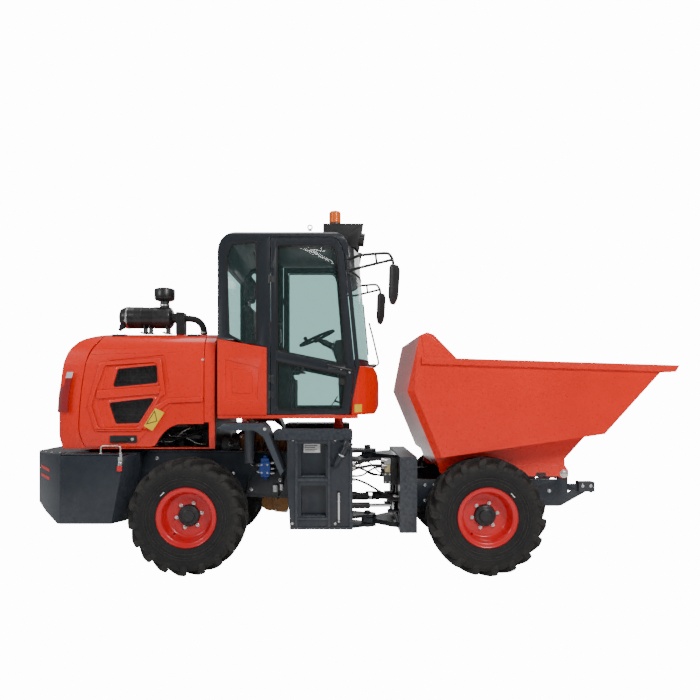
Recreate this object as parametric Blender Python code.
"""Articulated site dumper with a cab, a front tipping skip and a rear engine.

Frame: metres, +Z up, +X towards the skip (the front), +Y to the machine's left.
The origin is on the ground under the middle of the overall box, with the machine
standing straight. Right-hand pieces lie at negative Y.
"""
import math

import bmesh
import bpy
from mathutils import Matrix, Vector

# ---------------------------------------------------------------- dimensions
TYRE_R = 0.488            # over the lugs
TYRE_W = 0.31
RIM_R = 0.250             # flange radius
WHEEL_Y = 0.72            # centre plane of each wheel
REAR_AXLE_X = -1.335
FRONT_AXLE_X = 1.145
AXLE_Z = TYRE_R

PIVOT_X = 0.195           # centre line of the articulation hinge
SKIP_PIN_X, SKIP_PIN_Z = 1.89, 0.808
SKIP_T = 0.012            # skip plate
SKIP_Y = 0.735            # half width outside the side plates
RIM_BAR_Y = 0.757         # half width over the rim bars
HOPPER_Y = 0.500

CAB_Y = 0.680             # half width of the cab
CAB_T = 0.050
CAB_REAR_X = -1.107
CAB_FLOOR_Z = 1.297
CAB_ROOF_Z = 2.890
DOOR_HINGE_X = -0.6635
DOOR_HINGE_Y = 0.690
DOOR_T = 0.036

HOOD_Y = 0.620
HOOD_T = 0.022
HOOD_BOTTOM_Z = 1.035
ENGINE_DOOR_PIN_Y, ENGINE_DOOR_PIN_Z = 0.425, 2.024

LID_PIN_X, LID_PIN_Z = -2.4028, 1.0055

TIP_BASE = (0.80, 0.60)   # x, z of the tipping cylinder's lower pin
TIP_EYE = (1.60, 0.78)    # x, z of its rod eye
STEER_BASE = (-0.225, 0.25)   # x, |y| of a steering cylinder's rear pin
STEER_EYE = (0.42, 0.22)      # x, |y| of its rod eye
STEER_Z = 0.485
GAP = 0.0003              # between pieces that bear on each other

for old in list(bpy.data.objects):
    bpy.data.objects.remove(old, do_unlink=True)


# ---------------------------------------------------------------- materials
def material(name, rgb, roughness, metallic=0.0):
    m = bpy.data.materials.new(name)
    m.use_nodes = True
    b = m.node_tree.nodes["Principled BSDF"]
    b.inputs["Base Color"].default_value = (rgb[0], rgb[1], rgb[2], 1.0)
    b.inputs["Roughness"].default_value = roughness
    b.inputs["Metallic"].default_value = metallic
    return m


ORANGE = (0.79, 0.045, 0.012)
RIM_RED = (0.62, 0.010, 0.014)
SLATE = (0.026, 0.034, 0.046)
BLACK = (0.012, 0.012, 0.013)
TYRE_BLACK = (0.018, 0.018, 0.019)
GLASS = (0.16, 0.30, 0.30)
OCHRE = (0.48, 0.26, 0.06)
STEEL = (0.60, 0.60, 0.60)
BEACON = (0.90, 0.24, 0.01)
SEAT = (0.020, 0.020, 0.022)


# ---------------------------------------------------------------- tools
def finish(name, bm):
    bmesh.ops.remove_doubles(bm, verts=bm.verts, dist=1e-6)
    bmesh.ops.recalc_face_normals(bm, faces=bm.faces)
    if bm.calc_volume(signed=True) < 0:
        bmesh.ops.reverse_faces(bm, faces=bm.faces)
    me = bpy.data.meshes.new(name)
    bm.to_mesh(me)
    bm.free()
    ob = bpy.data.objects.new(name, me)
    bpy.context.scene.collection.objects.link(ob)
    return ob


def prism(points, axis, a, b, name="piece"):
    """Extrude a closed outline along an axis, from a to b."""
    bm = bmesh.new()
    put = {"X": lambda p, t: (t, p[0], p[1]),
           "Y": lambda p, t: (p[0], t, p[1]),
           "Z": lambda p, t: (p[0], p[1], t)}[axis]
    face = bm.faces.new([bm.verts.new(put(p, a)) for p in points])
    out = bmesh.ops.extrude_face_region(bm, geom=[face])
    moved = [v for v in out["geom"] if isinstance(v, bmesh.types.BMVert)]
    step = Vector(put((0.0, 0.0), b)) - Vector(put((0.0, 0.0), a))
    bmesh.ops.translate(bm, vec=step, verts=moved)
    return finish(name, bm)


def box(x0, x1, y0, y1, z0, z1, name="piece"):
    return prism([(x0, y0), (x1, y0), (x1, y1), (x0, y1)], "Z", z0, z1, name)


def hull(points, name="piece"):
    bm = bmesh.new()
    for p in points:
        bm.verts.new(p)
    out = bmesh.ops.convex_hull(bm, input=bm.verts)
    dead = {g for g in out["geom_interior"] + out["geom_unused"] if isinstance(g, bmesh.types.BMVert)}
    bmesh.ops.delete(bm, geom=list(dead), context="VERTS")
    return finish(name, bm)


def basis(direction):
    d = Vector(direction).normalized()
    side = Vector((0, 0, 1)) if abs(d.z) < 0.9 else Vector((1, 0, 0))
    u = d.cross(side).normalized()
    return d, u, d.cross(u).normalized()


def turned(profile, base, direction, n=24, name="piece"):
    """Revolve (distance along, radius) points about a line."""
    d, u, w = basis(direction)
    base = Vector(base)
    bm = bmesh.new()
    rings = []
    for along, r in profile:
        if r <= 0:
            rings.append([bm.verts.new(base + d * along)])
        else:
            rings.append([bm.verts.new(base + d * along + (u * math.cos(t) + w * math.sin(t)) * r)
                          for t in (2 * math.pi * (i + 0.5) / n for i in range(n))])
    closed = len(rings[0]) > 1
    pairs = list(zip(rings, rings[1:] + rings[:1])) if closed else list(zip(rings, rings[1:]))
    for p, q in pairs:
        for i in range(n):
            j = (i + 1) % n
            if len(p) == 1 and len(q) == 1:
                continue
            if len(p) == 1:
                bm.faces.new((p[0], q[i], q[j]))
            elif len(q) == 1:
                bm.faces.new((p[i], p[j], q[0]))
            else:
                bm.faces.new((p[i], p[j], q[j], q[i]))
    return finish(name, bm)


def rod(p, q, r, n=16, name="piece"):
    length = (Vector(q) - Vector(p)).length
    return turned([(0, 0), (0, r), (length, r), (length, 0)], p, Vector(q) - Vector(p), n, name)


def tube(points, r, n=10, name="piece"):
    """A round bar bent along a line of points."""
    pts = [Vector(p) for p in points]
    bm = bmesh.new()
    rings = []
    u = None
    for k, p in enumerate(pts):
        a = (pts[k] - pts[k - 1]).normalized() if k else None
        b = (pts[k + 1] - pts[k]).normalized() if k < len(pts) - 1 else None
        t = (a + b).normalized() if a is not None and b is not None else (a if b is None else b)
        if u is None:
            _, u, _ = basis(t)
        u = (u - t * u.dot(t)).normalized()
        w = t.cross(u)
        stretch = 1.0
        if a is not None and b is not None:
            stretch = 1.0 / max(0.5, math.sqrt(max(0.0, (1 + a.dot(b)) / 2)))
            m = (b - a)
            m = m.normalized() if m.length > 1e-6 else None
        else:
            m = None
        ring = []
        for i in range(n):
            ang = 2 * math.pi * i / n
            off = (u * math.cos(ang) + w * math.sin(ang)) * r
            if m is not None:
                off = off + m * off.dot(m) * (stretch - 1.0)
            ring.append(bm.verts.new(p + off))
        rings.append(ring)
    for p, q in zip(rings, rings[1:]):
        for i in range(n):
            j = (i + 1) % n
            bm.faces.new((p[i], p[j], q[j], q[i]))
    bm.faces.new(rings[0])
    bm.faces.new(rings[-1])
    return finish(name, bm)


def boolean(target, other, how):
    mod = target.modifiers.new("cut", "BOOLEAN")
    mod.operation = how
    mod.solver = "EXACT"
    mod.object = other
    bpy.context.view_layer.update()
    deps = bpy.context.evaluated_depsgraph_get()
    me = bpy.data.meshes.new_from_object(target.evaluated_get(deps))
    target.modifiers.remove(mod)
    target.data = me
    bpy.data.objects.remove(other, do_unlink=True)
    return target


def join(first, *rest):
    for other in rest:
        boolean(first, other, "UNION")
    return first


def cut(first, *rest):
    for other in rest:
        boolean(first, other, "DIFFERENCE")
    return first


def keep(first, other):
    return boolean(first, other, "INTERSECT")


def named(ob, name, rgb, roughness, metallic=0.0, smooth=True):
    ob.name = name
    ob.data.name = name
    bm = bmesh.new()
    bm.from_mesh(ob.data)
    bmesh.ops.remove_doubles(bm, verts=bm.verts, dist=2e-6)
    bmesh.ops.dissolve_degenerate(bm, dist=1e-6, edges=bm.edges)
    bmesh.ops.dissolve_limit(bm, angle_limit=math.radians(0.05), verts=bm.verts, edges=bm.edges)
    bmesh.ops.triangulate(bm, faces=[f for f in bm.faces if len(f.verts) > 4])
    bm.to_mesh(ob.data)
    bm.free()
    ob.data.materials.clear()
    ob.data.materials.append(material(name, rgb, roughness, metallic))
    if smooth:
        ob.data.shade_smooth()
        ob.data.set_sharp_from_angle(angle=math.radians(32))
    return ob


def mirrored(ob, name, rgb, roughness, metallic=0.0):
    """The other side's copy of a piece."""
    bm = bmesh.new()
    bm.from_mesh(ob.data)
    bmesh.ops.transform(bm, matrix=Matrix.Diagonal((1, -1, 1, 1)), verts=bm.verts)
    bmesh.ops.reverse_faces(bm, faces=bm.faces)
    other = finish(name, bm)
    return named(other, name, rgb, roughness, metallic)


def inset(points, t):
    """Move every side of a convex outline inwards by t."""
    area = sum(p[0] * q[1] - q[0] * p[1] for p, q in zip(points, points[1:] + points[:1]))
    pts = points if area > 0 else points[::-1]
    n = len(pts)
    lines = []
    for i in range(n):
        p, q = Vector(pts[i]), Vector(pts[(i + 1) % n])
        d = (q - p).normalized()
        nrm = Vector((-d.y, d.x))
        lines.append((p + nrm * t, d))
    out = []
    for i in range(n):
        p, d = lines[i - 1]
        q, e = lines[i]
        den = d.x * e.y - d.y * e.x
        s = ((q.x - p.x) * e.y - (q.y - p.y) * e.x) / den
        out.append((p.x + d.x * s, p.y + d.y * s))
    return out


def joint_empty(name, location):
    e = bpy.data.objects.new(name, None)
    e.location = location
    e.empty_display_size = 0.1
    bpy.context.scene.collection.objects.link(e)
    return e


def carry(empty, *objects, parent=None):
    bpy.context.view_layer.update()
    for ob in objects:
        ob.parent = empty
        ob.matrix_parent_inverse = empty.matrix_world.inverted()
    if parent is not None:
        empty.parent = parent
        empty.matrix_parent_inverse = parent.matrix_world.inverted()
    bpy.context.view_layer.update()


def arc(cx, cz, r, a0, a1, n):
    return [(cx + r * math.cos(math.radians(a0 + (a1 - a0) * i / n)),
             cz + r * math.sin(math.radians(a0 + (a1 - a0) * i / n))) for i in range(n + 1)]


# ---------------------------------------------------------------- wheels
def wheel(prefix, x, side):
    """A tyre and a deep-dished rim; side is -1 on the right."""
    base = (x, side * WHEEL_Y, AXLE_Z)
    out = (0, side, 0)
    h = TYRE_W / 2
    n = 32
    top = TYRE_R / math.cos(math.pi / n)      # a flat between two corners touches the ground
    tyre = turned([(-h * 0.80, RIM_R + 0.004), (-h * 0.97, 0.330), (-h, 0.400), (-h * 0.93, 0.462),
                   (-h * 0.80, top - 0.004), (-h * 0.45, top), (h * 0.45, top), (h * 0.80, top - 0.004),
                   (h * 0.93, 0.462), (h, 0.400), (h * 0.97, 0.330), (h * 0.80, RIM_R + 0.004),
                   (h * 0.80, 0.2253), (-h * 0.80, 0.2253)], base, out, n)
    named(tyre, "tyre_" + prefix, TYRE_BLACK, 0.85)
    rim = turned([(0.052, 0.0), (0.052, 0.050), (0.024, 0.066), (0.024, 0.112), (0.002, 0.120),
                  (0.002, 0.178), (0.060, 0.200), (0.1235, 0.214), (0.1300, RIM_R),
                  (0.1243, RIM_R), (0.1243, 0.225), (-0.1243, 0.225), (-0.1243, RIM_R),
                  (-0.1300, RIM_R), (-0.1235, 0.214), (-0.060, 0.204), (-0.016, 0.190),
                  (-0.016, 0.0)], base, out, n)
    named(rim, "rim_" + prefix, RIM_RED, 0.35)
    e = joint_empty("hub_" + prefix, base)
    return e, tyre, rim


# ---------------------------------------------------------------- rear body: chassis
def axle(x, name, shaft_to):
    body = turned([(-0.675, 0), (-0.675, 0.085), (-0.62, 0.095), (-0.60, 0.070), (-0.24, 0.070),
                   (-0.15, 0.118), (0.15, 0.118), (0.24, 0.070), (0.60, 0.070), (0.62, 0.095),
                   (0.675, 0.085), (0.675, 0)], (x, 0, AXLE_Z), (0, 1, 0), 16)
    dx = 1 if shaft_to > x else -1
    nose = rod((x, 0, AXLE_Z), (x + dx * 0.24, 0, AXLE_Z + 0.02), 0.062, 14)
    shaft = rod((x + dx * 0.20, 0, AXLE_Z + 0.018), (shaft_to, 0, 0.540), 0.032, 12)
    pads = [box(x - 0.07, x + 0.07, s * 0.42 - 0.05, s * 0.42 + 0.05, AXLE_Z + 0.03, 0.560 - GAP) for s in (-1, 1)]
    return join(body, nose, shaft, *pads)


rail_side = [(-2.30, 0.70), (-1.75, 0.62), (0.00, 0.56), (0.00, 0.98), (-2.30, 1.00)]
rear_frame = box(-0.035, 0.045, -0.42, 0.42, 0.300, 0.985)
cut(rear_frame, box(-0.1, 0.1, -0.13, 0.13, 0.430, 0.660), box(-0.1, 0.1, -0.350, 0.350, 0.430, 0.540))
for s in (-1, 1):
    rail = prism(rail_side, "Y", s * 0.36, s * 0.40)
    arch = turned([(-0.6, 0), (-0.6, 0.13), (0.6, 0.13), (0.6, 0)], (REAR_AXLE_X, 0, 0.50), (0, 1, 0), 20)
    cut(rail, arch)
    join(rear_frame, rail)
for x0, z0, z1 in ((-2.28, 0.74, 0.98), (-1.10, 0.60, 0.72), (-0.40, 0.58, 0.68)):
    join(rear_frame, box(x0, x0 + 0.05, -0.37, 0.37, z0, z1))
for s in (-1, 1):
    join(rear_frame, box(REAR_AXLE_X - 0.09, REAR_AXLE_X + 0.09, s * 0.42 - 0.055, s * 0.42 + 0.055, 0.560, 0.66))
fork = [(0.03, -0.16), (0.16, -0.085), (0.24, -0.075), (0.275, -0.04), (0.275, 0.04), (0.24, 0.075),
        (0.16, 0.085), (0.03, 0.16)]
for z0, z1 in ((0.870, 0.900), (0.955, 0.985), (0.255, 0.2835), (0.3415, 0.370)):
    join(rear_frame, prism(fork, "Z", z0, z1))
join(rear_frame, box(-0.035, 0.045, -0.16, 0.16, 0.2550, 0.31))
for z0, z1 in ((0.860, 1.020), (0.240, 0.395)):
    join(rear_frame, rod((PIVOT_X, 0, z0), (PIVOT_X, 0, z1), 0.030, 16))
# brackets for the rear pins of the steering cylinders
bx, by = STEER_BASE
for s in (-1, 1):
    for z0, z1 in ((STEER_Z - 0.062, STEER_Z - 0.044), (STEER_Z + 0.044, STEER_Z + 0.062)):
        join(rear_frame, box(bx - 0.05, bx + 0.04, s * by - 0.045 if s > 0 else s * by - 0.155,
                             s * by + 0.155 if s > 0 else s * by + 0.045, z0, z1))
    join(rear_frame, box(bx - 0.05, bx + 0.04, min(s * 0.36, s * 0.40), max(s * 0.36, s * 0.40), STEER_Z - 0.062, 0.60))
named(rear_frame, "rear_frame", SLATE, 0.45)

rear_axle = named(axle(REAR_AXLE_X, "rear_axle", -1.02), "rear_axle", BLACK, 0.55)

transmission = box(-1.000, -0.52, -0.24, 0.24, 0.700, 1.180)
join(transmission, box(-0.80, -0.52, -0.17, 0.17, 0.44, 0.71),
     rod((-0.53, 0, 0.54), (0.150, 0, 0.54), 0.034, 12))
named(transmission, "transmission", OCHRE, 0.55)

engine = box(-2.180, -1.160, -0.260, 0.260, 0.760, 1.520)
named(engine, "engine_block", BLACK, 0.6)

# ---------------------------------------------------------------- rear box and lids
BOX_Y = 0.750
LID_X0, LID_X1 = -2.400, -1.885
plan = [(-2.770, -0.34), (-2.770, 0.34), (-2.672, 0.56), (-2.414, BOX_Y), (-1.780, BOX_Y),
        (-1.780, -BOX_Y), (-2.414, -BOX_Y), (-2.672, -0.56)]
rear_box = prism(plan, "Z", 0.417, 1.000)
# the tail slopes in under the machine; the front side leans back towards its foot
cut(rear_box, prism([(-2.90, 0.665), (-2.770, 0.665), (-2.590, 0.500), (-2.450, 0.417), (-2.40, 0.30), (-2.90, 0.30)],
                    "Y", -0.9, 0.9))
cut(rear_box, prism([(-1.927, 0.30), (-1.800, 1.000), (-1.800, 1.10), (-1.60, 1.10), (-1.60, 0.30)], "Y", -0.9, 0.9))
for s in (-1, 1):
    # its front corners are cut off, leaning the same way
    cut(rear_box, hull([(x + lean, s * y, z) for z, lean in ((0.30, -0.127), (1.10, 0.0181))
                        for x, y in ((-1.952, 0.90), (-1.724, 0.45), (-1.560, 0.45), (-1.560, 0.90))]))
# room for the chassis rails and the engine
cut(rear_box, box(-2.34, -1.80, -0.43, 0.43, 0.30, 1.10))
for s in (-1, 1):
    # a compartment on each side, open at the top
    cut(rear_box, box(-2.370, -1.985, *sorted((s * 0.645, s * 0.732)), 0.60, 1.10))
    # seat for its lid
    cut(rear_box, box(-2.4055, -1.80, *sorted((s * 0.622, s * 0.80)), 0.9875, 1.10))
named(rear_box, "counterweight", SLATE, 0.5)


def lid(s):
    plate = box(LID_X0, LID_X1, *sorted((s * 0.628, s * (BOX_Y + 0.003))), 0.9935, 1.0055)
    a = s * 0.705
    handle = tube([(-2.085, a, 1.003), (-2.085, a, 1.055), (-2.070, a, 1.068), (-1.935, a, 1.068), (-1.920, a, 1.055),
                   (-1.920, a, 1.003)], 0.0075, 8)
    return join(plate, handle)


lid_r = named(lid(-1), "battery_lid_right", SLATE, 0.5)
lid_l = named(lid(1), "battery_lid_left", SLATE, 0.5)

# ---------------------------------------------------------------- hood
section_r = [(0.0, 2.050), (0.20, 2.047), (0.40, 2.030), (0.50, 2.000), (0.560, 1.950), (0.598, 1.870), (0.615, 1.760),
             (HOOD_Y, 1.55), (HOOD_Y, 1.20), (0.612, HOOD_BOTTOM_Z)]


def hood_section(t):
    """Cross-section outline, moved inwards by t, as (y, z) points on the +Y half."""
    out = []
    n = len(section_r)
    for i, (y, z) in enumerate(section_r):
        if i == 0:
            d = Vector((1, 0))
        elif i == n - 1:
            d = (Vector(section_r[i]) - Vector(section_r[i - 1])).normalized()
        else:
            d = ((Vector(section_r[i]) - Vector(section_r[i - 1])).normalized()
                 + (Vector(section_r[i + 1]) - Vector(section_r[i])).normalized()).normalized()
        nrm = Vector((d.y, -d.x))
        out.append((y + nrm.x * t, z + nrm.y * t))
    out[0] = (0.0, out[0][1])
    return out


def hood_shell(x0, x1, t0, t1):
    outer = hood_section(t0)
    inner = hood_section(t1)
    ring = outer + [(y, z) for y, z in reversed(inner)]
    left = [(-y, z) for y, z in outer[1:]]
    left_in = [(-y, z) for y, z in inner[1:]]
    pts = list(reversed(left)) + outer + list(reversed(inner)) + left_in
    return prism(pts, "X", x0, x1)


seam_rear = [(-2.164, 1.959), (-2.219, 1.874), (-2.255, 1.754), (-2.285, 1.562), (-2.303, 1.368), (-2.309, 1.202),
             (-2.285, 1.106), (-2.255, 1.046)]
tail_rear = [(-2.458, 1.064), (-2.506, 1.166), (-2.512, 1.225), (-2.504, 1.370), (-2.490, 1.502), (-2.462, 1.671),
             (-2.434, 1.790), (-2.398, 1.880), (-2.350, 1.940), (-2.290, 1.985), (-2.170, 2.025)]

# the tail: a solid-looking cap hollowed from the front
tail_profile = [(-1.142, HOOD_BOTTOM_Z), (-2.445, HOOD_BOTTOM_Z)] + tail_rear + [(-2.0, 2.06), (-1.142, 2.06)]
solid = hood_section(0.0)
body = prism(list(reversed([(-y, z) for y, z in solid[1:]])) + solid, "X", -2.60, -1.142)
keep(body, prism(tail_profile + [], "Y", -0.7, 0.7))
for s in (-1, 1):
    cut(body, prism([(x, s * -y if s > 0 else y) for x, y in [(-2.70, -0.47), (-2.70, -0.80), (-2.36, -0.80), (-2.42, -0.625), (-2.48, -0.59), (-2.515, -0.53), (-2.53, -0.47)]],
                    "Z", 0.9, 2.2))
inside = hood_section(HOOD_T)
inside[-1] = (inside[-1][0], 0.95)
hollow = prism(list(reversed([(-y, z) for y, z in inside[1:]])) + inside, "X", -2.60, -1.0)
keep(hollow, prism([(-1.00, 1.055 - 0.3), (-2.425, 0.755), (-2.425, 1.075), (-2.480, 1.180), (-2.480, 1.380), (-2.440, 1.660),
                    (-2.400, 1.800), (-2.330, 1.905), (-2.240, 1.970), (-2.170, 1.998), (-2.00, 2.030), (-1.90, 2.10), (-1.00, 2.10)], "Y", -0.7, 0.7))
cut(hollow, box(-2.6, -2.36, -0.9, -0.545, 0.5, 2.2), box(-2.6, -2.36, 0.545, 0.9, 0.5, 2.2))
cut(hollow, box(-3.0, 0.0, -1, 1, 0.0, HOOD_BOTTOM_Z - 0.05))
cut(body, hollow)
# the side door openings
door_outline = seam_rear + [(-1.2320, 1.046), (-1.2320, 2.20), (-2.140, 2.20), (-2.150, 1.985)]
for s in (-1, 1):
    y0, y1 = sorted((s * 0.418, s * 0.90))
    cut(body, prism(door_outline, "Y", y0, y1))
hood = body
# sill under each side opening, joined to the front arch
for s in (-1, 1):
    y0, y1 = sorted((s * 0.585, s * 0.612))
    join(hood, box(-2.262, -1.20, y0, y1, HOOD_BOTTOM_Z, 1.0405))
named(hood, "hood_cover", ORANGE, 0.3)


def engine_door(s):
    shell = hood_shell(-2.40, -1.2372, 0.0, HOOD_T)
    grown = [(-2.1440, 1.940), (-2.2080, 1.8700), (-2.2490, 1.7535), (-2.2790, 1.5615), (-2.2970, 1.3680), (-2.3030, 1.2025),
             (-2.2795, 1.1085), (-2.2508, 1.0520), (-1.690, 1.0520), (-1.648, 1.069), (-1.618, 1.129), (-1.521, 1.220), (-1.461, 1.244),
             (-1.2372, 1.249), (-1.2372, 2.20), (-2.118, 2.20), (-2.128, 1.985)]
    y0, y1 = sorted((s * 0.425, s * 0.90))
    keep(shell, prism(grown, "Y", y0, y1))
    # two grille windows
    upper = [(-1.975, 1.720), (-1.640, 1.754), (-1.632, 1.600), (-2.020, 1.562)]
    lower = [(-2.052, 1.430), (-1.652, 1.475), (-1.794, 1.255), (-1.992, 1.250)]
    for w in (upper, lower):
        y0, y1 = sorted((s * 0.585, s * 0.70))
        cut(shell, prism(w, "Y", y0, y1))
    return shell


engine_door_r = named(engine_door(-1), "engine_door_right", ORANGE, 0.3)
engine_door_l = named(engine_door(1), "engine_door_left", ORANGE, 0.3)

cleaner = turned([(0, 0), (0, 0.060), (0.02, 0.085), (0.05, 0.0985), (0.44, 0.0985), (0.462, 0.085), (0.476, 0.060),
                  (0.476, 0)], (-2.050, -0.30, 2.194), (1, 0, 0), 20)
join(cleaner, rod((-1.655, -0.30, 2.24), (-1.655, -0.30, 2.355), 0.040, 14),
     turned([(0, 0), (0, 0.060), (0.02, 0.088), (0.075, 0.092), (0.105, 0.070), (0.118, 0.0)], (-1.655, -0.30, 2.345), (0, 0, 1), 18),
     box(-1.86, -1.76, -0.37, -0.23, 2.0505, 2.13), box(-1.66, -1.60, -0.37, -0.23, 2.0505, 2.13),
     tube([(-1.60, -0.30, 2.185), (-1.42, -0.30, 2.185), (-1.36, -0.30, 2.17), (-1.318, -0.30, 2.13), (-1.30, -0.30, 2.05 + GAP)], 0.030, 10))
cut(cleaner, box(-2.2, -1.1, -0.6, 0.1, 1.9, 2.0520))
named(cleaner, "air_cleaner", BLACK, 0.4)


# ---------------------------------------------------------------- tanks and fenders
def side_tank(s, filler):
    y0, y1 = sorted((s * 0.430, s * 0.740))
    body = prism([(-0.515, 0.812), (-0.490, 0.370), (0.030, 0.370), (0.030, 1.150), (-0.515, 1.150)], "Y", y0, y1)
    top0, top1 = sorted((s * 0.430, s * 0.760))
    join(body, box(-0.622, 0.035, top0, top1, 1.150 - 0.03, 1.200))
    for zz in ((0.812, 1.088), (0.477, 0.737)):
        xa, xb = (-0.395, -0.190)
        c0, c1 = sorted((s * 0.660, s * 0.80))
        cut(body, box(xa, xb, c0, c1, zz[0], zz[1]))
    if filler:
        join(body, tube([(-0.125, s * 0.735, 0.900), (-0.090, s * 0.790, 0.955), (-0.010, s * 0.805, 1.085)], 0.026, 12),
             rod((-0.016, s * 0.804, 1.075), (0.004, s * 0.808, 1.110), 0.040, 16))
    return body


fuel_tank = named(side_tank(-1, True), "fuel_tank", SLATE, 0.5)
hydraulic_tank = named(side_tank(1, False), "hydraulic_tank", SLATE, 0.5)


def fender(s):
    outer = [(-1.078, 1.222), (-1.030, 1.262), (-0.709, 1.262), (-0.675, 1.226), (-0.535, 0.870)]
    inner = [(-0.5445, 0.8665), (-0.683, 1.2195), (-0.713, 1.252), (-1.0265, 1.252), (-1.0715, 1.2145)]
    y0, y1 = sorted((s * 0.500, s * 0.840))
    sheet = prism(outer + inner, "Y", y0, y1)
    lip = [(-1.078, 1.222), (-1.030, 1.262), (-0.709, 1.262), (-0.675, 1.226), (-0.535, 0.870), (-0.560, 0.834),
           (-0.700, 1.150), (-0.775, 1.205), (-1.04, 1.205)]
    y0, y1 = sorted((s * 0.834, s * 0.842))
    join(sheet, prism(lip, "Y", y0, y1))
    # bracket to the chassis rail
    y0, y1 = sorted((s * 0.4003, s * 0.52))
    join(sheet, box(-0.90, -0.82, y0, y1, 0.90, 1.256))
    return sheet


fender_r = named(fender(-1), "fender_right", SLATE, 0.45)
fender_l = named(fender(1), "fender_left", SLATE, 0.45)

# ---------------------------------------------------------------- cab
floor_plan = [(CAB_REAR_X, -0.675), (0.010, -0.675), (0.085, -0.640), (0.085, 0.640), (0.010, 0.675), (CAB_REAR_X, 0.675)]
cab_floor = prism(floor_plan, "Z", CAB_FLOOR_Z, 1.3270)
join(cab_floor, box(-0.95, -0.87, -0.36, 0.36, 1.190, 1.30), box(-0.12, -0.04, -0.36, 0.36, 1.2003, 1.30))
named(cab_floor, "cab_floor", ORANGE, 0.35)

roof_r = 0.17
cab_outline = ([(CAB_REAR_X, 1.3273), (0.012, 1.3273), (0.085, 1.679), (0.097, 1.731), (0.022, 2.500), (0.006, 2.690)]
               + arc(-0.150, 2.735, 0.155, -8, 88, 5) + arc(CAB_REAR_X + roof_r, CAB_ROOF_Z - roof_r, roof_r, 92, 180, 5))
cab_inner = [(CAB_REAR_X + 0.045, 1.30), (-0.035, 1.30), (0.038, 1.679), (0.050, 1.731), (-0.026, 2.500), (-0.045, 2.680),
             (-0.075, 2.770), (-0.15, 2.835), (-0.90, 2.835), (-1.000, 2.800), (CAB_REAR_X + 0.055, 2.715)]
cab = prism(cab_outline, "Y", -CAB_Y, CAB_Y)
cut(cab, prism(cab_inner, "Y", -(CAB_Y - CAB_T), CAB_Y - CAB_T))
# rounded roof edges along the sides
for s in (-1, 1):
    cut(cab, prism([(s * 0.700, 2.900), (s * 0.700, 2.84), (s * 0.6805, 2.84), (s * 0.672, 2.868), (s * 0.650, 2.885), (s * 0.625, 2.8905), (s * 0.60, 2.90)],
                   "X", -1.3, 0.3))
# front opening for the windshield and the nose
cut(cab, box(-0.20, 0.30, -(CAB_Y - CAB_T), CAB_Y - CAB_T, 1.30, 2.640))
# rear openings: window above, panel below
cut(cab, box(-1.30, -0.95, -0.600, 0.600, 1.960, 2.640))
cut(cab, box(-1.30, -0.95, -0.700, 0.700, 1.30, 1.860))
# side openings: door, quarter window and quarter panel
door_hole = [(-0.6610, 1.3000), (0.030, 1.3000), (0.0120, 1.3273), (0.0500, 1.679), (0.0620, 1.731), (-0.012, 2.495), (-0.0280, 2.680), (-0.055, 2.765),
             (-0.090, 2.815), (-0.130, 2.838), (-0.6610, 2.838)]
quarter_hole = [(-1.0150, 2.005), (-1.0350, 2.690), (-0.990, 2.785), (-0.770, 2.800), (-0.770, 1.9350), (-0.880, 1.935)]
for s in (-1, 1):
    y0, y1 = sorted((s * 0.60, s * 0.75))
    cut(cab, prism(door_hole, "Y", y0, y1))
    cut(cab, prism(quarter_hole, "Y", y0, y1))
    y0, y1 = sorted((s * 0.6305, s * 0.75))
    cut(cab, prism([(-1.20, 1.30), (-0.6900, 1.30), (-0.6900, 1.900), (-1.20, 1.990)], "Y", y0, y1))
named(cab, "cab_frame", SLATE, 0.4)


def quarter_panel(s):
    y0, y1 = sorted((s * 0.640, s * 0.682))
    panel = prism([(-1.109, 1.3275), (-0.6905, 1.3275), (-0.6905, 1.8990), (-1.109, 1.9730)], "Y", y0, y1)
    y0, y1 = sorted((s * 0.674, s * 0.70))
    sunk = [(-1.040, 1.455), (-0.768, 1.455), (-0.758, 1.730), (-1.040, 1.800)]
    cut(panel, prism(sunk, "Y", y0, y1))
    return panel


quarter_r = named(quarter_panel(-1), "quarter_panel_right", ORANGE, 0.3)
quarter_l = named(quarter_panel(1), "quarter_panel_left", ORANGE, 0.3)

rear_panel = box(-1.1072, -1.078, -0.6395, 0.6395, 1.3275, 1.8595)
named(rear_panel, "rear_panel", ORANGE, 0.3)


def front_curve(z, half, n=8, back=0.0):
    """Plan points of the curved front at height z, from right to left."""
    a = 0.097 - (z - 1.731) * 0.0955
    out = []
    for i in range(n + 1):
        y = -half + 2 * half * i / n
        bulge = 0.125 * (1 - (abs(y) / 0.63) ** 2.2)
        out.append((a - 0.012 + bulge - back, y))
    return out


def sheet_between(low, high, t, name="piece"):
    """A bowed sheet: low and high are (z, plan points); t is its thickness, inwards."""
    bm = bmesh.new()
    rows = []
    for z, pts in (low, high):
        rows.append([bm.verts.new((x, y, z)) for x, y in pts])
    for z, pts in (low, high):
        rows.append([bm.verts.new((x - t, y, z)) for x, y in pts])
    a, b, c, d = rows
    n = len(a)
    for i in range(n - 1):
        bm.faces.new((a[i], a[i + 1], b[i + 1], b[i]))
        bm.faces.new((c[i], d[i], d[i + 1], c[i + 1]))
        bm.faces.new((a[i], c[i], c[i + 1], a[i + 1]))
        bm.faces.new((b[i], b[i + 1], d[i + 1], d[i]))
    for i in (0, n - 1):
        bm.faces.new((a[i], b[i], d[i], c[i]))
    return finish(name, bm)


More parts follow.
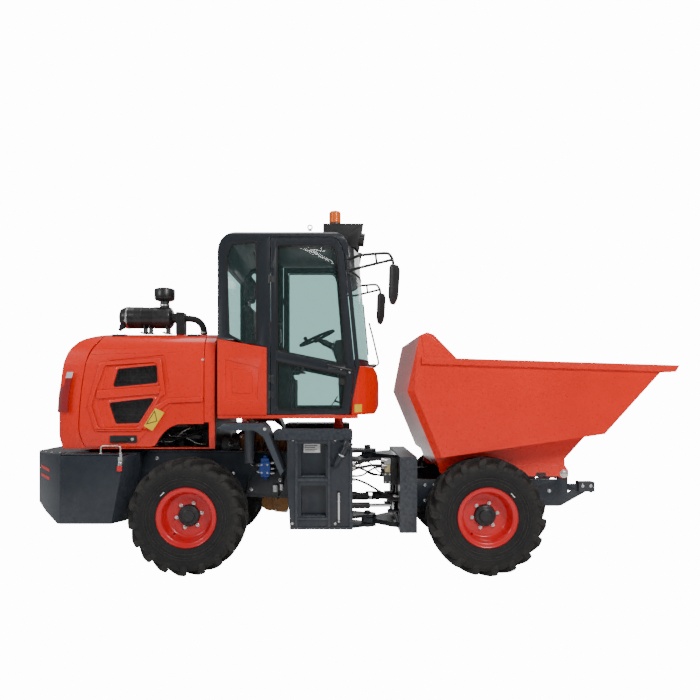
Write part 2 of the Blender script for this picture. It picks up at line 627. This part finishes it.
WS_LOW, WS_HIGH = 1.800, 2.560
windshield = sheet_between((WS_LOW, front_curve(WS_LOW, 0.625)), (WS_HIGH, front_curve(WS_HIGH, 0.625)), 0.008)
named(windshield, "windshield", GLASS, 0.05)
header = sheet_between((WS_HIGH + GAP, front_curve(WS_HIGH, 0.6296)), (2.780, front_curve(2.68, 0.6296)), 0.060)
cowl = sheet_between((1.745, front_curve(1.745, 0.6296, back=-0.006)), (WS_LOW - GAP, front_curve(WS_LOW, 0.6296, back=-0.004)), 0.060)
cab2 = bpy.data.objects["cab_frame"]
join(cab2, header)
join(cab2, prism(front_curve(2.68, 0.6290) + [(-0.020, 0.6290), (-0.020, -0.6290)], "Z", 2.735, 2.7797))

nose_plan = [(0.0130, 0.6290), (0.085, 0.6290), (0.150, 0.560), (0.222, 0.440), (0.270, 0.340), (0.290, 0.200), (0.290, -0.200), (0.270, -0.340),
             (0.222, -0.440), (0.150, -0.560), (0.085, -0.6290), (0.0130, -0.6290)]
nose = prism(nose_plan, "Z", 1.3275, 1.7440)
# the sides run in under the door's slanting front edge
cut(nose, prism([(-0.10, 1.20), (0.016, 1.20), (0.052, 1.679), (0.062, 1.741), (0.040, 1.90), (-0.10, 1.90)], "Y", -0.8, 0.8))
inner_plan = [(0.0, 0.600), (0.070, 0.600), (0.130, 0.540), (0.200, 0.420), (0.246, 0.325), (0.265, 0.190), (0.265, -0.190), (0.246, -0.325),
              (0.200, -0.420), (0.130, -0.540), (0.070, -0.600), (0.0, -0.600)]
cut(nose, prism([(-0.1, 0.600)] + inner_plan + [(-0.1, -0.600)], "Z", 1.20, 1.770))
# the top slopes down to the front, the bottom front edge is chamfered
cut(nose, prism([(0.10, 1.830), (0.10, 1.7440), (0.225, 1.7440), (0.262, 1.700), (0.300, 1.560), (0.40, 1.56), (0.40, 1.90), (0.10, 1.90)], "Y", -0.8, 0.8))
join(nose, cut(prism(nose_plan, "Z", 1.700, 1.7440), prism([(0.2250, 1.7440), (0.262, 1.700), (0.262, 1.60), (0.40, 1.60), (0.40, 1.80), (0.225, 1.80)], "Y", -0.8, 0.8)))
cut(nose, prism([(0.40, 1.20), (0.20, 1.20), (0.240, 1.327), (0.295, 1.400), (0.40, 1.400)], "Y", -0.8, 0.8))
cut(nose, prism([(-0.10, 1.20), (0.016, 1.20), (0.052, 1.679), (0.0620, 1.731), (0.0610, 1.90), (-0.10, 1.90)], "Y", -0.8, 0.8))
named(nose, "nose_panel", ORANGE, 0.3)
cut(cowl, box(-0.3, 0.5, -0.9, 0.9, 1.60, 1.7445))
join(cab2, cowl)
for s in (-1, 1):
    join(cab2, box(0.064, 0.082, *sorted((s * 0.600, s * 0.645)), 1.746, 1.798))
named(cab2, "cab_frame", SLATE, 0.4)

rear_window = box(-1.0990, -1.0930, -0.5997, 0.5997, 1.9603, 2.6397)
cut(rear_window, prism([(-1.3, 2.60), (-1.3, 2.70), (-0.9, 2.70), (-0.9, 2.6396)], "Y", -1, 1))
named(rear_window, "rear_window", GLASS, 0.05)


def pane(outline, s, y_in, y_out, name):
    y0, y1 = sorted((s * y_in, s * y_out))
    return prism(outline, "Y", y0, y1, name)


quarter_glass_outline = inset(quarter_hole, GAP)
for s, tag in ((-1, "right"), (1, "left")):
    named(pane(quarter_glass_outline, s, 0.664, 0.670, "q"), "quarter_glass_" + tag, GLASS, 0.05)

door_out = [(-0.6560, 1.3325), (0.0072, 1.3325), (0.0437, 1.679), (0.0557, 1.731), (-0.0180, 2.494), (-0.0340, 2.678), (-0.0612, 2.7618), (-0.0940, 2.8105),
            (-0.1316, 2.8327), (-0.6560, 2.8327)]
upper_win = [(-0.608, 1.870), (-0.608, 2.775), (-0.145, 2.775), (-0.105, 2.745), (-0.085, 2.680), (-0.010, 1.760), (-0.012, 1.748)]
lower_win = [(-0.608, 1.790), (-0.008, 1.668), (-0.040, 1.385), (-0.065, 1.370), (-0.590, 1.370), (-0.608, 1.390)]


def door(s):
    y0, y1 = sorted((s * (CAB_Y - DOOR_T), s * CAB_Y))
    d = prism(door_out, "Y", y0, y1)
    c0, c1 = sorted((s * 0.60, s * 0.75))
    cut(d, prism(upper_win, "Y", c0, c1), prism(lower_win, "Y", c0, c1))
    a = s * (CAB_Y + 0.022)
    bar = box(-0.175, -0.010, *sorted((s * (CAB_Y - 0.004), s * (CAB_Y + 0.012))), 1.716, 1.745)
    bpy.data.objects.remove(bar, do_unlink=True)
    # handle bar and two hinge knuckles
    join(d, box(-0.170, -0.030, *sorted((s * (CAB_Y - 0.004), s * (CAB_Y + 0.014))), 1.716, 1.744))
    for z in (1.50, 1.62, 2.60):
        join(d, box(-0.6560, -0.630, *sorted((s * (CAB_Y - 0.004), s * (CAB_Y + 0.012))), z - 0.03, z + 0.03))
    return d


glass_line = [(-0.6220, 1.356), (-0.010, 1.356), (0.004, 1.660), (0.012, 1.735), (-0.062, 2.490), (-0.078, 2.678), (-0.105, 2.755), (-0.150, 2.795),
              (-0.6220, 2.795)]


def door_glass(s):
    """One sheet behind the door's mid rail, closing both windows."""
    y0, y1 = sorted((s * (CAB_Y - DOOR_T - GAP), s * (CAB_Y - DOOR_T - 0.006)))
    return prism(glass_line, "Y", y0, y1)


doors = {}
for s, tag in ((-1, "right"), (1, "left")):
    doors[tag] = (named(door(s), "door_" + tag, SLATE, 0.4), named(door_glass(s), "door_glass_" + tag, GLASS, 0.05))

# ---------------------------------------------------------------- cab interior
seat_base = box(-0.86, -0.48, -0.20, 0.20, 1.3273, 1.700)
join(seat_base, box(-0.90, -0.50, -0.46, -0.26, 1.3273, 1.860), box(-0.90, -0.48, -0.27, 0.20, 1.3273, 1.42),
     rod((-0.60, -0.36, 1.85), (-0.60, -0.36, 1.90), 0.045, 12), tube([(-0.60, -0.36, 1.88), (-0.58, -0.36, 2.10)], 0.012, 8),
     turned([(0, 0), (0.006, 0.020), (0.03, 0.028), (0.055, 0.020), (0.062, 0)], (-0.583, -0.36, 2.085), (0.08, 0, 1), 12))
named(seat_base, "seat_base", BLACK, 0.6)
seat = prism([(-0.890, 1.7003), (-0.400, 1.7003), (-0.385, 1.760), (-0.400, 1.810), (-0.820, 1.800), (-0.870, 2.340), (-0.860, 2.600), (-0.900, 2.640),
              (-0.970, 2.620), (-0.985, 2.340), (-0.960, 1.800)], "Y", -0.235, 0.235)
for s in (-1, 1):
    cut(seat, box(-1.1, -0.7, *sorted((s * 0.150, s * 0.30)), 2.390, 2.70))
named(seat, "seat", SEAT, 0.8)

dash = prism([(0.020, 1.3273), (0.020, 1.790), (0.020, 1.960), (-0.020, 2.010), (-0.110, 2.000), (-0.130, 1.900), (-0.085, 1.780), (-0.070, 1.3273)],
             "Y", -0.21, 0.21)
cut(dash, box(-0.30, 0.045, -0.3, 0.3, 1.30, 1.42))
join(dash, box(-0.055, 0.010, -0.10, 0.10, 1.3273, 1.43))
column = tube([(-0.080, 0.0, 1.930), (-0.270, 0.0, 2.020)], 0.030, 12)
ring = []
tilt = math.radians(24)
wheel_c = Vector((-0.285, 0.0, 2.035))
un = Vector((math.cos(tilt), 0, math.sin(tilt)))
for i in range(24):
    t = 2 * math.pi * i / 24
    ring.append(wheel_c + un * (0.172 * math.cos(t)) + Vector((0, 1, 0)) * (0.172 * math.sin(t)))
rim_ring = bmesh.new()
rows = []
axis_n = un.cross(Vector((0, 1, 0))).normalized()
for i in range(24):
    t = 2 * math.pi * i / 24
    radial = un * math.cos(t) + Vector((0, 1, 0)) * math.sin(t)
    rows.append([rim_ring.verts.new(wheel_c + radial * (0.172 + 0.013 * math.cos(a)) + axis_n * (0.013 * math.sin(a)))
                 for a in (2 * math.pi * k / 8 for k in range(8))])
for i in range(24):
    p, q = rows[i], rows[(i + 1) % 24]
    for k in range(8):
        rim_ring.faces.new((p[k], p[(k + 1) % 8], q[(k + 1) % 8], q[k]))
steer = finish("ring", rim_ring)
join(column, turned([(0, 0), (0, 0.034), (0.03, 0.040), (0.045, 0.0)], wheel_c - axis_n * 0.03 * (1 if axis_n.z > 0 else -1),
                    axis_n * (1 if axis_n.z > 0 else -1), 16))
for t in (90, 210, 330):
    t = math.radians(t)
    radial = un * math.cos(t) + Vector((0, 1, 0)) * math.sin(t)
    join(column, tube([wheel_c, wheel_c + radial * 0.170], 0.009, 8))
join(column, steer)
join(dash, column)
named(dash, "dashboard", BLACK, 0.6)

# ---------------------------------------------------------------- roof gear and mirrors
bar_profile = [(-0.216, 2.8800), (-0.216, 2.992), (0.136, 2.992), (0.078, 2.785), (0.017, 2.785)]
lamp_bar = box(-0.216, 0.136, -0.520, 0.520, 2.9800, 2.992)
for s in (-1, 1):
    join(lamp_bar, prism(bar_profile, "Y", *sorted((s * 0.508, s * 0.520))),
         rod((0.040, s * 0.390, 2.890), (0.150, s * 0.390, 2.875), 0.058, 18), box(0.060, 0.100, *sorted((s * 0.370, s * 0.410)), 2.930, 2.985),
         box(-0.200, -0.170, *sorted((s * 0.10, s * 0.16)), 2.880, 2.985))
cut(lamp_bar, prism(inset(cab_outline, -0.0004), "Y", -0.8, 0.8))
named(lamp_bar, "lamp_bar", BLACK, 0.5)

beacon = turned([(0, 0), (0, 0.046), (0.020, 0.050), (0.024, 0.045), (0.105, 0.043), (0.125, 0.030), (0.134, 0)], (-0.113, -0.42, 2.992 + GAP),
                (0, 0, 1), 20)
named(beacon, "beacon", BEACON, 0.25)


def mirror(s):
    y = s * 0.780
    arm = tube([(-0.002, s * 0.692, 2.648), (0.050, s * 0.730, 2.652), (0.110, y, 2.660), (0.300, y, 2.676), (0.345, y, 2.660), (0.368, y, 2.615),
                (0.372, y, 2.560)], 0.010, 8)
    low = tube([(0.002, s * 0.692, 2.548), (0.050, s * 0.730, 2.552), (0.110, y, 2.560), (0.362, y, 2.622)], 0.010, 8)
    strut = tube([(0.225, y, 2.672), (0.235, y, 2.590)], 0.007, 8)
    plate = prism([(-0.006, 2.520), (0.014, 2.520), (0.002, 2.676), (-0.018, 2.676)], "Y", *sorted((s * 0.6803, s * 0.700)))
    housing = hull([(x, y + s * dy, z) for x, dy, z in
                    ((0.350, -0.080, 2.585), (0.350, 0.085, 2.585), (0.350, -0.080, 2.250), (0.350, 0.085, 2.250),
                     (0.400, -0.055, 2.570), (0.400, 0.060, 2.570), (0.400, -0.055, 2.270), (0.400, 0.060, 2.270))])
    return join(plate, arm, low, strut, housing)


mirror_r = named(mirror(-1), "mirror_right", BLACK, 0.4)
mirror_l = named(mirror(1), "mirror_left", BLACK, 0.4)

# ---------------------------------------------------------------- front body
front = box(0.450, 0.600, -0.560, 0.560, 0.300, 0.960)
cut(front, box(0.40, 0.70, -0.130, 0.130, 0.430, 0.700))
cut(front, box(0.40, 0.585, -0.38, -0.16, 0.40, 0.88), box(0.40, 0.585, 0.16, 0.38, 0.40, 0.88))
lug = [(0.50, -0.30), (0.40, -0.24), (0.24, -0.070), (0.20, -0.062), (0.150, -0.045), (0.135, 0.0), (0.150, 0.045), (0.20, 0.062), (0.24, 0.070),
       (0.40, 0.24), (0.50, 0.30)]
for z0, z1 in ((0.9055, 0.9495), (0.2890, 0.3360)):
    join(front, prism(lug, "Z", z0, z1))
cut(front, rod((PIVOT_X, 0, 0.2), (PIVOT_X, 0, 1.1), 0.0315, 16))
for s in (-1, 1):
    rail = prism([(0.58, 0.520), (1.860, 0.520), (1.930, 0.620), (1.935, 0.808)] + arc(SKIP_PIN_X, SKIP_PIN_Z, 0.045, 0, 180, 8)
                 + [(1.845, 0.755), (0.58, 0.755)], "Y", *sorted((s * 0.440, s * 0.475)))
    wheel_room = rod((FRONT_AXLE_X, s * 0.40, 0.46), (FRONT_AXLE_X, s * 0.55, 0.46), 0.130, 20)
    cut(rail, wheel_room)
    join(front, rail)
    join(front, box(FRONT_AXLE_X - 0.09, FRONT_AXLE_X + 0.09, *sorted((s * 0.370, s * 0.475)), 0.560, 0.64))
    # steering cylinder brackets
    for z0, z1 in ((STEER_Z - 0.060, STEER_Z - 0.042), (STEER_Z + 0.042, STEER_Z + 0.060)):
        join(front, box(0.370, 0.60, *sorted((s * 0.175, s * 0.265)), z0, z1))
    # pads that stop the tipped skip
    join(front, box(1.90, 2.040, *sorted((s * 0.445, s * 0.470)), 0.655, 0.715))
    join(front, box(2.020, 2.160, *sorted((s * 0.415, s * 0.500)), 0.650, 0.735))
join(front, box(1.760, 1.860, -0.45, 0.45, 0.520, 0.600), box(0.720, 0.760, -0.45, 0.45, 0.560, 0.640))
for s in (-1, 1):
    join(front, box(0.73, 0.840, *sorted((s * 0.052, s * 0.072)), 0.560, 0.645))
join(front, rod((TIP_BASE[0], -0.072, TIP_BASE[1]), (TIP_BASE[0], 0.072, TIP_BASE[1]), 0.018, 12))
for s in (-1, 1):
    join(front, rod((SKIP_PIN_X, s * 0.440, SKIP_PIN_Z), (SKIP_PIN_X, s * 0.522, SKIP_PIN_Z), 0.022, 12))
named(front, "front_frame", SLATE, 0.45)

front_axle = named(axle(FRONT_AXLE_X, "front_axle", 0.240), "front_axle", BLACK, 0.55)

# ---------------------------------------------------------------- skip
side = [(0.500, 1.528), (0.735, 0.964), (2.150, 1.169), (2.660, 1.735), (0.912, 1.803), (0.715, 2.005), (0.660, 2.025), (0.600, 2.000), (0.583, 1.930)]
slope_back = (0.583 - 0.500) / (1.930 - 1.528)
cavity = [(0.500 + slope_back * (2.30 - 1.528), 2.30), (0.500, 1.528), (0.735, 0.964), (2.150, 1.169), (2.150 + 0.51 / 0.566 * (2.30 - 1.169), 2.30)]
hopper = [(0.700, 1.100), (0.800, 0.860), (1.900, 0.860), (1.897, 0.938), (2.080, 1.140), (2.080, 1.250), (0.700, 1.250)]
hopper_in = [(0.745, 1.040), (0.810, 0.872), (1.888, 0.872), (1.885, 0.943), (2.040, 1.165), (2.040, 1.260), (0.745, 1.260)]


def corner(s, dx, dy):
    """Cutters for the chamfered rear corners, above and below the knee."""
    k = [(0.500, 0.680, 1.528), (0.555, 0.735, 1.528), (0.430, 0.815, 1.528)]
    b = [(0.735 + 0.02, 0.680, 0.916), (0.790 + 0.02, 0.735, 0.916), (0.685, 0.815, 0.916)]
    t = [(0.583, 0.7352, 1.930), (0.5832, 0.7354, 1.930), (0.50, 0.815, 1.930)]
    fix = lambda pts: [(x + dx, s * (y - dy), z) for x, y, z in pts]
    return hull(fix(k + b)), hull(fix(k + t))


outer = join(prism(side, "Y", -SKIP_Y, SKIP_Y), keep(prism(hopper, "Y", -HOPPER_Y, HOPPER_Y), box(0.6, 2.2, -0.6, 0.6, 0.8, 1.24)))
inner = prism(inset(cavity, SKIP_T), "Y", -(SKIP_Y - SKIP_T), SKIP_Y - SKIP_T)
join(inner, prism(hopper_in, "Y", -(HOPPER_Y - SKIP_T), HOPPER_Y - SKIP_T))
for s in (-1, 1):
    for c in corner(s, 0.0, 0.0):
        cut(outer, c)
    for c in corner(s, 0.0085, 0.0085):
        cut(inner, c)
skip = cut(outer, inner)
# rim bars along the top of the side plates, and the front lip
for s in (-1, 1):
    bar = prism([(0.614, 1.758), (0.614, 1.813), (2.769, 1.746), (2.735, 1.691)], "Y", *sorted((s * (SKIP_Y - SKIP_T), s * RIM_BAR_Y)))
    join(skip, bar)
join(skip, prism([(2.618, 1.690), (2.650, 1.742), (2.770, 1.746), (2.735, 1.691)], "Y", -RIM_BAR_Y, RIM_BAR_Y))
# skirts that carry the hinge, and the lugs for the tipping cylinder
skirt = [(0.800, 0.880), (0.800, 0.823), (0.845, 0.785), (1.845, 0.785), (1.865, 0.770), (1.905, 0.768), (1.930, 0.790), (1.930, 0.835), (1.900, 0.880)]
for s in (-1, 1):
    plate = prism(skirt, "Y", *sorted((s * 0.486, s * 0.500)))
    cut(plate, rod((SKIP_PIN_X, s * 0.47, SKIP_PIN_Z), (SKIP_PIN_X, s * 0.53, SKIP_PIN_Z), 0.0235, 12))
    join(skip, plate)
for s in (-1, 1):
    y0, y1 = sorted((s * 0.052, s * 0.072))
    join(skip, prism([(1.50, 0.866), (1.540, 0.740), (1.600, 0.725), (1.660, 0.740), (1.700, 0.866)], "Y", y0, y1))
named(skip, "skip", ORANGE, 0.35)

# ---------------------------------------------------------------- cylinders
bx, bz = TIP_BASE
ex, ez = TIP_EYE
d = Vector((ex - bx, 0, ez - bz)).normalized()
base = Vector((bx, 0, bz))
tip_barrel = join(rod(base + d * 0.020, base + d * 0.600, 0.042, 18),
                  rod((bx, -0.046, bz), (bx, 0.046, bz), 0.036, 16))
cut(tip_barrel, rod(base + d * 0.060, base + d * 0.700, 0.0265, 16))
cut(tip_barrel, rod((bx, -0.06, bz), (bx, 0.06, bz), 0.0195, 12))
named(tip_barrel, "tip_barrel", BLACK, 0.4)
eye = Vector((ex, 0, ez))
tip_rod = join(rod(base + d * 0.150, eye - d * 0.010, 0.0245, 16), rod((ex, -0.044, ez), (ex, 0.044, ez), 0.036, 16))
named(tip_rod, "tip_rod", STEEL, 0.2, 1.0)

steer_parts = {}
for s, tag in ((-1, "right"), (1, "left")):
    a = Vector((STEER_BASE[0], s * STEER_BASE[1], STEER_Z))
    e = Vector((STEER_EYE[0], s * STEER_EYE[1], STEER_Z))
    d = (e - a).normalized()
    barrel = join(rod(a, a + d * 0.430, 0.030, 14), rod(a - Vector((0, 0, 0.038)), a + Vector((0, 0, 0.038)), 0.030, 14))
    cut(barrel, rod(a + d * 0.045, a + d * 0.50, 0.0185, 12))
    rodp = join(rod(a + d * 0.290, e - d * 0.010, 0.0165, 12), rod(e - Vector((0, 0, 0.036)), e + Vector((0, 0, 0.036)), 0.026, 14))
    steer_parts[tag] = (a, e, named(barrel, "steer_barrel_" + tag, BLACK, 0.4), named(rodp, "steer_rod_" + tag, STEEL, 0.2, 1.0))

# ---------------------------------------------------------------- joints
steering = joint_empty("joint_steering", (PIVOT_X, 0, 0.60))
carry(steering, bpy.data.objects["front_frame"], bpy.data.objects["front_axle"])
tipping = joint_empty("joint_skip", (SKIP_PIN_X, 0, SKIP_PIN_Z))
carry(tipping, bpy.data.objects["skip"], parent=steering)
tip_base = joint_empty("joint_tip_barrel", (TIP_BASE[0], 0, TIP_BASE[1]))
carry(tip_base, bpy.data.objects["tip_barrel"], parent=steering)
tip_slide = joint_empty("joint_tip_rod", (TIP_EYE[0], 0, TIP_EYE[1]))
carry(tip_slide, bpy.data.objects["tip_rod"], parent=tip_base)
for tag, (a, e, barrel, rodp) in steer_parts.items():
    j = joint_empty("joint_steer_barrel_" + tag, a)
    carry(j, barrel)
    k = joint_empty("joint_steer_rod_" + tag, e)
    carry(k, rodp, parent=j)
for tag, s in (("right", -1), ("left", 1)):
    j = joint_empty("joint_door_" + tag, (DOOR_HINGE_X, s * DOOR_HINGE_Y, 2.0))
    carry(j, *doors[tag])
    j = joint_empty("joint_engine_door_" + tag, (-1.75, s * ENGINE_DOOR_PIN_Y, ENGINE_DOOR_PIN_Z))
    carry(j, bpy.data.objects["engine_door_" + tag])
    j = joint_empty("joint_battery_lid_" + tag, (LID_PIN_X, s * 0.69, LID_PIN_Z))
    carry(j, bpy.data.objects["battery_lid_" + tag])
for prefix, x, s in (("rear_right", REAR_AXLE_X, -1), ("rear_left", REAR_AXLE_X, 1), ("front_right", FRONT_AXLE_X, -1), ("front_left", FRONT_AXLE_X, 1)):
    e, tyre, rim = wheel(prefix, x, s)
    carry(e, tyre, rim, parent=steering if prefix.startswith("front") else None)
